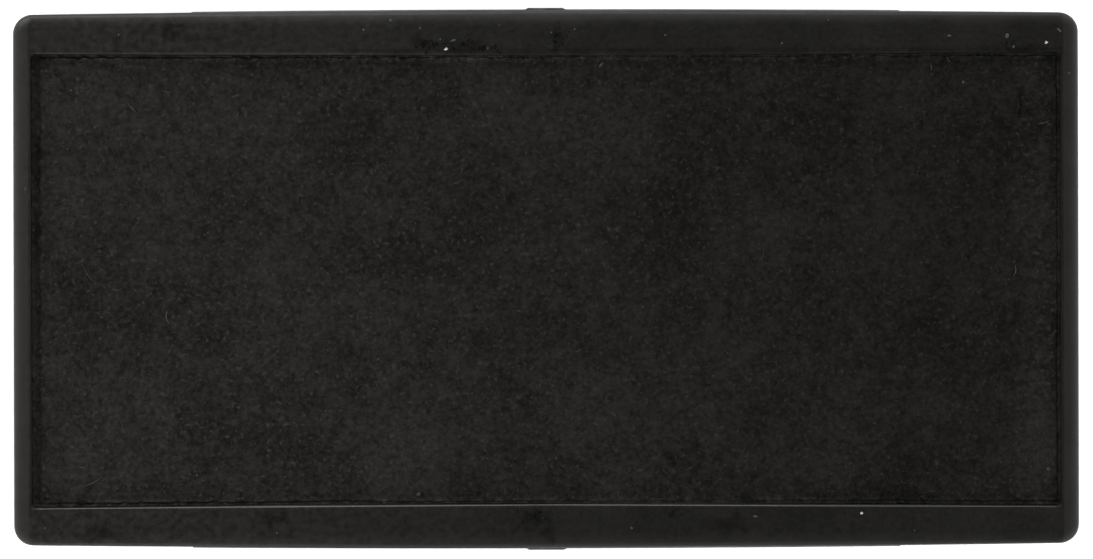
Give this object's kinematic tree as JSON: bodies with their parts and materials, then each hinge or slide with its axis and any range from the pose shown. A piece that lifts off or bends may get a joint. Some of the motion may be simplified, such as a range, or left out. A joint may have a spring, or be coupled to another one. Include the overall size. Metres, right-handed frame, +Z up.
{
  "type": "ink pad cassette",
  "caption": "Low rectangular plastic tray with bowed long sides and a recessed black felt ink pad, which slides into a self-inking stamp.",
  "frame": {"origin": "centre of the resting plane, midway along and across the tray", "axes": "+X along the pad, +Y across it towards the back long side, +Z up out of the pad's face"},
  "size_m": [0.074, 0.0378, 0.007],
  "materials": {
    "tray_plastic": "satin black moulded plastic with ink smears",
    "reservoir_felt": "coarse needled felt soaked with black ink",
    "face_felt": "fine non-woven felt soaked with black ink"
  },
  "bodies": {
    "root": {"tray": "tray_plastic", "reservoir_felt": "reservoir_felt", "face_felt": "face_felt"}
  },
  "joints": []
}
